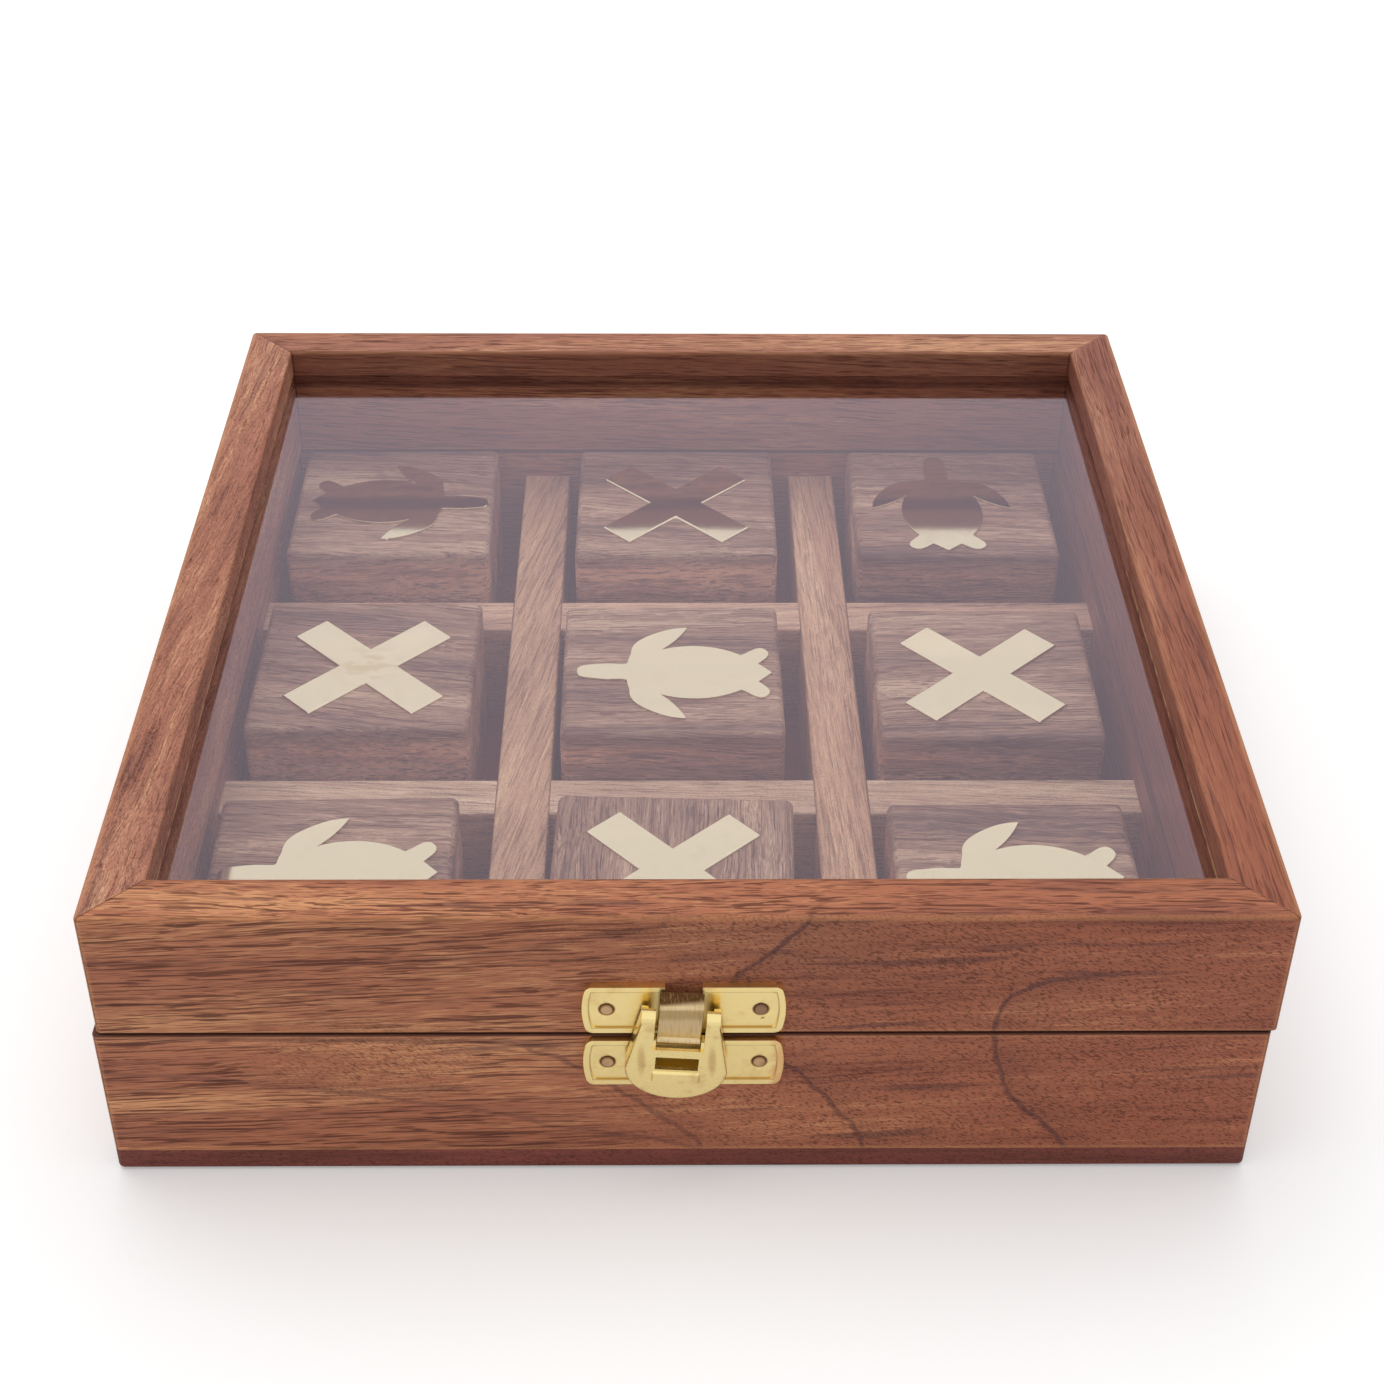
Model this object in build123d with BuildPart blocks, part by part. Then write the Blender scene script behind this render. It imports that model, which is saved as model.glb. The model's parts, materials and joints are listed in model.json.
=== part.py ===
from build123d import *
import os
from math import cos, radians, sin

os.makedirs("parts", exist_ok=True)

# A tic-tac-toe box with a glazed lid. Millimetres, +Z up, +Y towards the hinges, +X to the right.
# The origin is the middle of the underside.

# Case, driving dimensions
base_width = 178.2
case_depth = 180.8
lid_shift = 0.75
wall_thickness = 9.0
board_thickness = 4.3
base_wall_height = 25.15
parting_gap = 0.4
lid_height = 23.15
corner_round = 0.9
edge_round = 0.6
parting_edge_round = 0.3
board_edge_round = 0.8

# Glass pane, held in a groove of the lid's rails
glass_set_down = 5.4
glass_thickness = 3.0
groove_depth = 3.2
glass_side_clearance = 0.2
glass_top_clearance = 0.1

# Dividers of the nine cells: thirds of the inside, each shifted a little by hand
divider_height = 19.3
divider_thickness = 9.4
long_divider_shift = (0.7, -0.1)
cross_divider_shift = (2.3, 0.5)
lap_clearance = 0.05
divider_round = 0.5

# Playing blocks and the brass figures let into them
block_play = 6.3
block_height = 26.7
block_corner_round = 1.4
block_top_round = 1.3
block_foot_round = 0.5
figure_thickness = 1.0
figure_proud = 0.45
cross_bar_length = 33.6
cross_bar_width = 7.7
turtle_length = 35.6

# Clasp plates
clasp_x = 0.0
plate_length = 30.4
plate_height = 9.3
plate_end_bulge = 0.7
plate_corner = 1.3
plate_thickness = 1.1
plate_rim = 1.0
plate_recess = 0.3
lid_plate_above_parting = 1.3
base_plate_below_parting = 0.4
nail_spacing = 23.0
nail_head_r = 1.05
nail_shank_r = 0.5
nail_length = 7.0
nail_dome = 0.25
hole_clearance = 0.05

# Catch tab on the lid plate, below a notch in the plate's top edge
tab_width = 5.0
tab_thickness = 0.6
tab_reach = 2.7
notch_width = 5.6
notch_depth = 2.65
notch_step = 0.1

# Swinging clasp flap, drawn round its own pivot
pivot_x = -0.45
pivot_above_parting = 6.25
flap_lean = 4.0
flap_flare = 1.85
flap_side_length = 9.9
flap_bottom_length = 6.0
sheet = 0.6
knuckle_r = 1.5
knuckle_gap_behind = 0.2
ear_knuckle_length = 1.0
tray_gap = 0.5
flap_edge_round = 0.5
window_gap = 0.5
window_length = 5.6
bridge_width = 1.5
slot_width = 6.5
slot_length = 2.5
lip_width = 7.3
lip_length = 2.2
lip_rise = 0.4
lip_below_slot = 0.4
lip_slope = 30.0
lug_thickness = 0.6
lug_foot = 2.2
pivot_pin_r = 0.4
side_clearance = 0.15

# Clasp link, pivoted in the flap and laid over the catch tab
link_width = 6.6
link_pivot_behind = 0.4
link_curl_wall = 0.4
link_front_out = 0.8
link_tab_gap = 0.3
link_top_rise = 1.1
link_back_gap = 0.2
link_tab_thickness = 0.6
link_tab_seat = 0.2
link_bend_r = 0.9

# Butt hinges let into the back edges
hinge_end_gap = 26.0
hinge_length = 25.0
hinge_knuckles = 5
knuckle_gap = 0.2
hinge_knuckle_r = 1.5
hinge_pin_r = 0.7
hinge_pin_overhang = 0.6
hinge_wall_gap = 0.3
leaf_depth = 6.0
leaf_thickness = 0.9
leaf_gap = 0.2
screw_spacing = 15.0
screw_r = 0.9
screw_head_r = 1.5
screw_head_depth = 0.6
screw_length = 7.0
screw_slot_width = 0.4
screw_slot_depth = 0.25

# Heights and faces that follow
base_top = board_thickness + base_wall_height
lid_bottom = base_top + parting_gap
lid_top = lid_bottom + lid_height
parting_z = (base_top + lid_bottom) / 2
front_y = -case_depth / 2
back_y = case_depth / 2
inner_width = base_width - 2 * wall_thickness
inner_depth = case_depth - 2 * wall_thickness
cell_width = (inner_width - 2 * divider_thickness) / 3
cell_depth = (inner_depth - 2 * divider_thickness) / 3
long_divider_x = [side * (cell_width + divider_thickness) / 2 + shift
                  for side, shift in zip((-1, 1), long_divider_shift)]
cross_divider_y = [side * (cell_depth + divider_thickness) / 2 + shift
                   for side, shift in zip((-1, 1), cross_divider_shift)]
glass_top = lid_top - glass_set_down
glass_bottom = glass_top - glass_thickness


def finish(piece, name):
    """Name a finished piece and write it to its own file."""
    piece.part.label = name
    export_step(piece.part, f"parts/{name}.step")


def side_outline(side, width, depth):
    """Plan of one rail of a frame, with its ends cut at 45 degrees."""
    long_half = (width if side in ("front", "back") else depth) / 2
    out = (depth if side in ("front", "back") else width) / 2
    inn = out - wall_thickness
    points = [(-long_half, -out), (long_half, -out),
              (long_half - wall_thickness, -inn), (-long_half + wall_thickness, -inn)]
    turns = {"front": 0, "right": 90, "back": 180, "left": 270}
    return Plane.XY.rotated((0, 0, turns[side])), points


def mitred_rails(width, height, z0, centre_x, grooved):
    """Four mitred rails of one frame, as parts by side."""
    floor = Plane.XY.offset(z0)
    with BuildPart() as frame:
        with BuildSketch(floor):
            Rectangle(width, case_depth)
            Rectangle(width - 2 * wall_thickness, case_depth - 2 * wall_thickness, mode=Mode.SUBTRACT)
        extrude(amount=height)
        if grooved:
            with BuildSketch(Plane.XY.offset(glass_bottom)):
                Rectangle(width - 2 * wall_thickness + 2 * groove_depth,
                          case_depth - 2 * wall_thickness + 2 * groove_depth)
            extrude(amount=glass_thickness + glass_top_clearance, mode=Mode.SUBTRACT)
        corners = frame.edges().filter_by(Axis.Z).filter_by(lambda e: abs(e.center().X) > width / 2 - 0.1)
        fillet(corners, corner_round)
        outer_top = frame.faces().sort_by(Axis.Z)[-1].outer_wire().edges()
        if grooved:
            inner_top = frame.faces().sort_by(Axis.Z)[-1].inner_wires()[0].edges()
            fillet(outer_top + inner_top, edge_round)
        else:
            fillet(outer_top, parting_edge_round)
        if grooved:
            outer_foot = frame.faces().sort_by(Axis.Z)[0].outer_wire().edges()
            fillet(outer_foot, parting_edge_round)
    rails = {}
    for side in ("front", "right", "back", "left"):
        turned, points = side_outline(side, width, case_depth)
        with BuildPart() as rail:
            add(frame.part)
            with BuildSketch(turned.offset(z0)):
                with BuildLine():
                    Polyline(points, close=True)
                make_face()
            extrude(amount=height, mode=Mode.INTERSECT)
        rails[side] = rail.part.moved(Location((centre_x, 0, 0)))
    return rails


# Places of the two hinges: axis just behind the back face, at the parting height
hinge_reach = base_width / 2 - hinge_end_gap - hinge_length / 2
hinge_x = (-hinge_reach, hinge_reach)
hinge_axis_y = back_y + hinge_wall_gap + hinge_knuckle_r
screw_y = back_y - leaf_depth / 2
knuckle_length = hinge_length / hinge_knuckles


def leaf_face(up):
    """Height of a leaf's face that looks at the other leaf. up is +1 in the lid, -1 in the base."""
    return parting_z + up * leaf_gap / 2


def cut_leaf_beds(up):
    """Beds and screw holes of both leaves, cut into the rail being built."""
    face = leaf_face(up)
    for x in hinge_x:
        with BuildSketch(Plane.XY.offset(face)) as bed:
            with Locations((x, back_y - leaf_depth / 2)):
                Rectangle(hinge_length, leaf_depth)
        extrude(bed.sketch, amount=up * leaf_thickness, mode=Mode.SUBTRACT)
        with BuildSketch(Plane.XY.offset(face)) as screw_holes:
            with Locations((x, screw_y)):
                with GridLocations(screw_spacing, 0, 2, 1):
                    Circle(screw_r + hole_clearance)
        extrude(screw_holes.sketch, amount=up * (screw_length + hole_clearance), mode=Mode.SUBTRACT)


def cut_nail_holes(z):
    """Holes of the two nails of one clasp plate, cut into the rail being built."""
    with BuildSketch(Plane(origin=(clasp_x, front_y, z), x_dir=(1, 0, 0), z_dir=(0, -1, 0))) as holes:
        with GridLocations(nail_spacing, 0, 2, 1):
            Circle(nail_shank_r + hole_clearance)
    extrude(holes.sketch, amount=-(nail_length + hole_clearance), mode=Mode.SUBTRACT)


lid_plate_bottom = parting_z + lid_plate_above_parting
lid_plate_z = lid_plate_bottom + plate_height / 2
base_plate_top = parting_z - base_plate_below_parting
base_plate_z = base_plate_top - plate_height / 2

# Walls of the base
base_rails = mitred_rails(base_width, base_wall_height, board_thickness, 0, False)

with BuildPart() as base_front_wall:
    add(base_rails["front"])
    cut_nail_holes(base_plate_z)
finish(base_front_wall, "base_front_wall")

with BuildPart() as base_back_wall:
    add(base_rails["back"])
    cut_leaf_beds(-1)
finish(base_back_wall, "base_back_wall")

for side in ("left", "right"):
    with BuildPart() as base_side_wall:
        add(base_rails[side])
    finish(base_side_wall, f"base_{side}_wall")

# Rails of the lid
lid_rails = mitred_rails(base_width, lid_height, lid_bottom, lid_shift, True)

with BuildPart() as lid_front_rail:
    add(lid_rails["front"])
    cut_nail_holes(lid_plate_z)
finish(lid_front_rail, "lid_front_rail")

with BuildPart() as lid_back_rail:
    add(lid_rails["back"])
    cut_leaf_beds(1)
finish(lid_back_rail, "lid_back_rail")

for side in ("left", "right"):
    with BuildPart() as lid_side_rail:
        add(lid_rails[side])
    finish(lid_side_rail, f"lid_{side}_rail")

# Glass pane, standing on the lower side of the groove
glass_lip = groove_depth - glass_side_clearance
with BuildPart() as lid_glass:
    with BuildSketch(Plane.XY.offset(glass_bottom)):
        with Locations((lid_shift, 0)):
            Rectangle(base_width - 2 * wall_thickness + 2 * glass_lip,
                      case_depth - 2 * wall_thickness + 2 * glass_lip)
    extrude(amount=glass_thickness)
finish(lid_glass, "lid_glass")

# Bottom board under the walls
with BuildPart() as bottom_board:
    with BuildSketch():
        Rectangle(base_width, case_depth)
    extrude(amount=board_thickness)
    fillet(bottom_board.edges().filter_by(Axis.Z), corner_round)
    fillet(bottom_board.faces().sort_by(Axis.Z)[0].edges(), board_edge_round)
finish(bottom_board, "bottom_board")

# Dividers, half-lapped where they cross: the long ones run through on top
lap_height = divider_height / 2
for name, x in zip(("left", "right"), long_divider_x):
    with BuildPart() as long_divider:
        with BuildSketch(Plane.XY.offset(board_thickness)):
            with Locations((x, 0)):
                Rectangle(divider_thickness, inner_depth)
        extrude(amount=divider_height)
        tops = long_divider.faces().sort_by(Axis.Z)[-1].edges().filter_by(Axis.Y)
        fillet(tops, divider_round)
        with BuildSketch(Plane.XY.offset(board_thickness)):
            with Locations([(x, y) for y in cross_divider_y]):
                Rectangle(2 * divider_thickness, divider_thickness + 2 * lap_clearance)
        extrude(amount=lap_height, mode=Mode.SUBTRACT)
    finish(long_divider, f"long_divider_{name}")

for name, y in zip(("front", "back"), cross_divider_y):
    with BuildPart() as cross_divider:
        with BuildSketch(Plane.XY.offset(board_thickness)):
            with Locations((0, y)):
                Rectangle(inner_width, divider_thickness)
        extrude(amount=divider_height)
        tops = cross_divider.faces().sort_by(Axis.Z)[-1].edges().filter_by(Axis.X)
        fillet(tops, divider_round)
        with BuildSketch(Plane.XY.offset(board_thickness + lap_height)):
            with Locations([(x, y) for x in long_divider_x]):
                Rectangle(divider_thickness + 2 * lap_clearance, 2 * divider_thickness)
        extrude(amount=lap_height, mode=Mode.SUBTRACT)
    finish(cross_divider, f"cross_divider_{name}")


def draw_cross():
    """A cross of two bars with square ends, in the sketch being built."""
    for angle in (45, -45):
        Rectangle(cross_bar_length, cross_bar_width, rotation=angle)


def draw_turtle():
    """A sea turtle seen from above, head towards -X, in the sketch being built."""
    k = turtle_length / 2
    with BuildLine() as outline:
        Spline((-k, 0), (-0.86 * k, 0.115 * k), (-0.68 * k, 0.135 * k), (-0.52 * k, 0.13 * k),
               tangents=((0, 1), (1, 0)))
        Spline((-0.52 * k, 0.13 * k), (-0.48 * k, 0.2 * k), (-0.455 * k, 0.33 * k),
               tangents=((1, 0), (0, 1)))
        Spline((-0.455 * k, 0.33 * k), (-0.34 * k, 0.58 * k), (-0.1 * k, 0.735 * k), (0.125 * k, 0.785 * k),
               tangents=((0, 1), (1, 0.05)))
        ThreePointArc((0.125 * k, 0.785 * k), (0.01 * k, 0.565 * k), (-0.14 * k, 0.385 * k))
        ThreePointArc((-0.14 * k, 0.385 * k), (0.2 * k, 0.455 * k), (0.68 * k, 0.3 * k))
        Spline((0.68 * k, 0.3 * k), (0.78 * k, 0.375 * k), (0.9 * k, 0.425 * k), (0.97 * k, 0.335 * k),
               (0.92 * k, 0.225 * k), (0.86 * k, 0.155 * k), tangents=((1, 0.5), (-1, -1.1)))
        Line((0.86 * k, 0.155 * k), (k, 0))
        mirror(about=Plane.XZ)
    make_face(outline.edges())


# Cells, from wall to divider to wall, and the block size that leaves play in the narrowest
half_divider = divider_thickness / 2
columns = {"left": (-inner_width / 2, long_divider_x[0] - half_divider),
           "middle": (long_divider_x[0] + half_divider, long_divider_x[1] - half_divider),
           "right": (long_divider_x[1] + half_divider, inner_width / 2)}
rows = {"front": (-inner_depth / 2, cross_divider_y[0] - half_divider),
        "middle": (cross_divider_y[0] + half_divider, cross_divider_y[1] - half_divider),
        "back": (cross_divider_y[1] + half_divider, inner_depth / 2)}
block_size = min(high - low for low, high in [*columns.values(), *rows.values()]) - block_play


def place_in(cell, share):
    """Middle of a block that is pushed a share of its free way from the cell's middle."""
    low, high = cell
    return (low + high) / 2 + share * (high - low - block_size) / 2


# Row, column, shares of the free way in X and Y, turn in the cell, figure, its turn and its shift on the block
blocks = (
    ("back", "left", -0.30, 0.58, 0.4, "turtle", 178, (1.0, -1.3)),
    ("back", "middle", -0.22, 0.57, -0.2, "cross", 0, (-0.1, -1.7)),
    ("back", "right", -0.30, 0.51, -0.2, "turtle", -90, (-2.1, -1.3)),
    ("middle", "left", -0.30, 0.60, -0.1, "cross", 0, (0.4, -1.4)),
    ("middle", "middle", -0.53, 0.16, 0.2, "turtle", -1, (0.4, -2.0)),
    ("middle", "right", -0.27, -0.19, -0.7, "cross", -1, (-0.4, -1.3)),
    ("front", "left", -0.28, 0.18, 1.0, "turtle", 0, (-0.2, -0.4)),
    ("front", "middle", -0.59, 0.22, -2.0, "cross", 0, (-0.1, 0.4)),
    ("front", "right", -0.46, -0.14, 0.1, "turtle", 0, (-0.6, 0.1)),
)
figures = {"cross": draw_cross, "turtle": draw_turtle}
pocket_depth = figure_thickness - figure_proud

for row, column, share_x, share_y, turn, figure, figure_turn, figure_shift in blocks:
    name = f"{row}_{column}"
    foot = Plane(origin=(place_in(columns[column], share_x), place_in(rows[row], share_y), board_thickness),
                 x_dir=(cos(radians(turn)), sin(radians(turn)), 0), z_dir=(0, 0, 1))
    pocket_floor = foot.offset(block_height - pocket_depth)
    with BuildSketch() as flat_figure:
        figures[figure]()
    placed_figure = flat_figure.sketch.moved(Location((*figure_shift, 0), (0, 0, figure_turn)))
    with BuildPart() as block:
        with BuildSketch(foot):
            RectangleRounded(block_size, block_size, block_corner_round)
        extrude(amount=block_height)
        fillet(block.faces().sort_by(Axis.Z)[-1].edges(), block_top_round)
        fillet(block.faces().sort_by(Axis.Z)[0].edges(), block_foot_round)
        with BuildSketch(pocket_floor):
            add(placed_figure)
        extrude(amount=pocket_depth, mode=Mode.SUBTRACT)
    finish(block, f"block_{name}")
    with BuildPart() as inlay:
        with BuildSketch(pocket_floor):
            add(placed_figure)
        extrude(amount=figure_thickness)
    finish(inlay, f"inlay_{figure}_{name}")

# Clasp: plates nailed to the front
plate_face = Plane(origin=(clasp_x, front_y, 0), x_dir=(1, 0, 0), z_dir=(0, -1, 0))
plate_field = plate_thickness - plate_recess


def draw_plate(z, inset):
    """Outline of a clasp plate with bulging ends, drawn inset from its edge."""
    half = plate_length / 2 - inset
    shoulder = half - plate_end_bulge
    top = plate_height / 2 - inset
    with BuildLine() as outline:
        Line((-shoulder, z + top), (shoulder, z + top))
        ThreePointArc((shoulder, z + top), (half, z), (shoulder, z - top))
        Line((shoulder, z - top), (-shoulder, z - top))
        ThreePointArc((-shoulder, z - top), (-half, z), (-shoulder, z + top))
    make_face(outline.edges())
    fillet(vertices(), plate_corner - inset / 2)


def make_plate(z):
    """A stamped plate with a raised rim and two nail holes."""
    with BuildPart() as plate:
        with BuildSketch(plate_face):
            draw_plate(z, 0)
        extrude(amount=plate_thickness)
        with BuildSketch(plate_face.offset(plate_field)):
            draw_plate(z, plate_rim)
        extrude(amount=plate_recess, mode=Mode.SUBTRACT)
        with BuildSketch(plate_face):
            with Locations((0, z)):
                with GridLocations(nail_spacing, 0, 2, 1):
                    Circle(nail_head_r + hole_clearance)
        extrude(amount=plate_thickness, mode=Mode.SUBTRACT)
    return plate.part


def make_nails(z):
    """Two round nails with domed heads, driven through a plate."""
    with BuildPart() as nails:
        for amount, r in ((plate_field + nail_dome, nail_head_r), (-nail_length, nail_shank_r)):
            with BuildSketch(plate_face) as rounds:
                with Locations((0, z)):
                    with GridLocations(nail_spacing, 0, 2, 1):
                        Circle(r)
            extrude(rounds.sketch, amount=amount)
        fillet(nails.edges().group_by(Axis.Y)[0], nail_dome * 0.9)
    return nails


finish(make_nails(lid_plate_z), "clasp_lid_nails")
finish(make_nails(base_plate_z), "clasp_base_nails")

# Lid plate, with a tab bent out below a notch in its top edge
pivot_z = parting_z + pivot_above_parting
lid_plate_top = lid_plate_z + plate_height / 2
tab_top = lid_plate_top - notch_depth - notch_step
with BuildPart() as clasp_lid_plate:
    add(make_plate(lid_plate_z))
    with BuildSketch(plate_face):
        with Locations((0, lid_plate_top - notch_depth / 2)):
            Rectangle(notch_width, notch_depth)
    extrude(amount=plate_thickness, mode=Mode.SUBTRACT)
    with BuildSketch(plate_face):
        with Locations((0, tab_top - tab_thickness / 2)):
            Rectangle(tab_width, tab_thickness)
    extrude(amount=tab_reach)
finish(clasp_lid_plate, "clasp_lid_plate")

# Clasp pivot: local X along the pivot, local Y up the flap, local Z out of the front
lean = radians(flap_lean)
pivot_out = plate_thickness + knuckle_gap_behind + knuckle_r
pivot_point = (clasp_x + pivot_x, front_y - pivot_out, pivot_z)
swing = Plane(origin=pivot_point, x_dir=(cos(lean), 0, -sin(lean)), z_dir=(0, -1, 0))
swing_side = Plane(origin=pivot_point, x_dir=(0, -1, 0), z_dir=(-cos(lean), 0, sin(lean)))

# Places along the pivot, from the middle outwards: link, link tab, lug, knuckle
link_half = link_width / 2
window_half = link_half + window_gap
link_tab_x = link_half + side_clearance / 2
lug_x = link_tab_x + link_tab_thickness + side_clearance
knuckle_x = lug_x + lug_thickness + side_clearance
ear_half = knuckle_x + ear_knuckle_length
flap_half = ear_half + flap_flare

# Depths from the pivot outwards, and lengths down the flap
sheet_back = knuckle_r - sheet
tray_back = tray_gap + plate_thickness - pivot_out
lug_r = sheet_back - side_clearance
link_curl_r = pivot_pin_r + link_curl_wall
link_pivot_below = window_length - link_curl_r + link_tab_seat
slot_top = window_length + bridge_width
lip_top = slot_top + slot_length + lip_below_slot


def side_slab(profile, x_from, x_to):
    """Extrude a side profile between two places along the pivot, on both sides of the clasp's middle."""
    for place in ((-x_to, -x_from), (x_from, x_to)):
        with BuildSketch(swing_side.offset(place[0])) as view:
            profile()
        extrude(view.sketch, amount=place[1] - place[0])


def side_cut(profile, x_from, x_to):
    """Cut a side profile between two places along the pivot, on both sides of the clasp's middle."""
    for place in ((-x_to, -x_from), (x_from, x_to)):
        with BuildSketch(swing_side.offset(place[0])) as view:
            profile()
        extrude(view.sketch, amount=place[1] - place[0], mode=Mode.SUBTRACT)


def draw_lug():
    """Side view of a lug: a narrow arm that rises past the lid plate to the pivot."""
    clear_of_lid = plate_thickness + link_back_gap - pivot_out
    plate_back = plate_recess - pivot_out
    foot_top = base_plate_top - pivot_z
    with BuildLine() as arm:
        Polyline((-lug_r, 0), (clear_of_lid, -lug_foot), (clear_of_lid, foot_top + plate_thickness),
                 (plate_back, foot_top), (plate_back, foot_top - lug_foot),
                 (plate_back + lug_foot, foot_top - lug_foot), (lug_r, foot_top + lug_foot), (lug_r, 0),
                 close=True)
    make_face(arm.edges())
    Circle(lug_r)


# Base plate, with two lugs that carry the flap
with BuildPart() as clasp_base_plate:
    add(make_plate(base_plate_z))
    side_slab(draw_lug, lug_x, lug_x + lug_thickness)
    side_cut(lambda: Circle(pivot_pin_r + hole_clearance), lug_x, lug_x + lug_thickness)
finish(clasp_base_plate, "clasp_base_plate")

with BuildPart() as clasp_pivot_pins:
    side_slab(lambda: Circle(pivot_pin_r), lug_x, ear_half)
finish(clasp_pivot_pins, "clasp_pivot_pins")


def draw_flap(inset, top):
    """Outline of the flap: narrow at the pivot, widening downwards to a round lip."""
    ear = ear_half - inset
    half = flap_half - inset
    with BuildLine() as outline:
        Line((-ear, top), (ear, top))
        Line((ear, top), (half, -flap_side_length))
        EllipticalCenterArc((0, -flap_side_length), half, flap_bottom_length - inset,
                            start_angle=180, arc_size=180)
        Line((-half, -flap_side_length), (-ear, top))
    make_face(outline.edges())


def draw_link_tab():
    """Side view of the small ear that carries the link's pin."""
    with Locations((-link_pivot_behind, -link_pivot_below)):
        Circle(link_curl_r)
    with Locations(((sheet_back - link_pivot_behind) / 2, -link_pivot_below)):
        Rectangle(sheet_back + link_pivot_behind, 2 * link_curl_r)


def draw_lug_room():
    """Side view of the room that a lug needs behind and below the pivot as the flap swings."""
    Circle(sheet_back)
    with Locations((-knuckle_r, 0)):
        Rectangle(2 * knuckle_r, 4 * knuckle_r)
    with Locations((0, -knuckle_r)):
        Rectangle(2 * sheet_back, 2 * knuckle_r)


def draw_link_pin_hole():
    """Side view of the hole for the link's pin."""
    with Locations((-link_pivot_behind, -link_pivot_below)):
        Circle(pivot_pin_r + hole_clearance)


with BuildPart() as clasp_flap:
    with BuildSketch(swing.offset(tray_back)):
        draw_flap(0, 0)
    extrude(amount=knuckle_r - tray_back)
    front_edges = clasp_flap.faces().sort_by(Axis.Y)[0].edges()
    fillet(front_edges.sort_by(Axis.Z)[:-1], flap_edge_round)
    with BuildSketch(swing.offset(tray_back)):
        draw_flap(sheet, knuckle_r)
    extrude(amount=sheet_back - tray_back, mode=Mode.SUBTRACT)
    side_slab(lambda: Circle(knuckle_r), window_half, ear_half)
    side_cut(draw_lug_room, window_half, knuckle_x)
    side_slab(draw_link_tab, link_tab_x, link_tab_x + link_tab_thickness)
    side_cut(lambda: Circle(pivot_pin_r + hole_clearance), knuckle_x, ear_half)
    side_cut(draw_link_pin_hole, link_tab_x, link_tab_x + link_tab_thickness)
    with BuildSketch(swing.offset(sheet_back)):
        with Locations((0, -window_length / 2 + knuckle_r)):
            Rectangle(2 * window_half, window_length + 2 * knuckle_r)
        with Locations((0, -slot_top - slot_length / 2)):
            Rectangle(slot_width, slot_length)
    extrude(amount=sheet, mode=Mode.SUBTRACT)
    with BuildSketch(swing.offset(knuckle_r)):
        with Locations((0, -lip_top - lip_length / 2)):
            RectangleRounded(lip_width, lip_length, lip_rise)
    extrude(amount=lip_rise, taper=lip_slope)
finish(clasp_flap, "clasp_flap")

with BuildPart() as clasp_link_pin:
    with BuildSketch(swing_side):
        with Locations((-link_pivot_behind, -link_pivot_below)):
            Circle(pivot_pin_r)
    extrude(amount=link_tab_x + link_tab_thickness, both=True)
finish(clasp_link_pin, "clasp_link_pin")

# Link: a strap with a curled foot, bent back and up over the catch tab at its top
link_under = tab_top + link_tab_gap - pivot_z
link_over = link_under + sheet
link_back = plate_thickness + link_back_gap - pivot_out
with BuildPart() as clasp_link:
    with BuildSketch(swing_side):
        with BuildLine():
            Polyline((-link_pivot_behind - sheet / 2, -link_pivot_below), (link_front_out - sheet, link_under),
                     (link_back, link_under + link_top_rise), (link_back, link_over + link_top_rise),
                     (link_front_out, link_over),
                     (-link_pivot_behind + sheet / 2, -link_pivot_below), close=True)
        make_face()
        bend = vertices().sort_by(Axis.X)
        fillet(bend[-1], link_bend_r)
        fillet(vertices().filter_by(lambda v: v.X > link_back + sheet).sort_by_distance(
            (link_front_out - sheet, link_under))[0], link_bend_r - sheet)
        with Locations((-link_pivot_behind, -link_pivot_below)):
            Circle(link_curl_r)
            Circle(pivot_pin_r + hole_clearance, mode=Mode.SUBTRACT)
    extrude(amount=link_half, both=True)
finish(clasp_link, "clasp_link")


def make_leaf(x, up):
    """One hinge leaf: a plate in its bed with every other knuckle round the pin."""
    own = range(0, hinge_knuckles, 2) if up < 0 else range(1, hinge_knuckles, 2)
    face = leaf_face(up)
    knuckle_centres = [x - hinge_length / 2 + knuckle_length * (i + 0.5) for i in own]
    with BuildPart() as leaf:
        with BuildSketch(Plane.XY.offset(face)):
            with Locations((x, back_y - leaf_depth / 2)):
                Rectangle(hinge_length, leaf_depth)
            neck = hinge_axis_y - back_y
            with Locations([(c, back_y + neck / 2) for c in knuckle_centres]):
                Rectangle(knuckle_length - knuckle_gap, neck)
        extrude(amount=up * leaf_thickness)
        for c in knuckle_centres:
            with BuildSketch(Plane(origin=(c, hinge_axis_y, parting_z), x_dir=(0, 1, 0), z_dir=(1, 0, 0))):
                Circle(hinge_knuckle_r)
            extrude(amount=(knuckle_length - knuckle_gap) / 2, both=True)
        with BuildSketch(Plane(origin=(x, hinge_axis_y, parting_z), x_dir=(0, 1, 0), z_dir=(1, 0, 0))):
            Circle(hinge_pin_r + hole_clearance)
        extrude(amount=hinge_length, both=True, mode=Mode.SUBTRACT)
        for dx in (-screw_spacing / 2, screw_spacing / 2):
            with BuildSketch(Plane.XY.offset(face)):
                with Locations((x + dx, screw_y)):
                    Circle(screw_head_r + hole_clearance)
            extrude(amount=up * screw_head_depth, mode=Mode.SUBTRACT)
            with BuildSketch(Plane.XY.offset(face)):
                with Locations((x + dx, screw_y)):
                    Circle(screw_r + hole_clearance)
            extrude(amount=up * leaf_thickness, mode=Mode.SUBTRACT)
    return leaf


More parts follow.
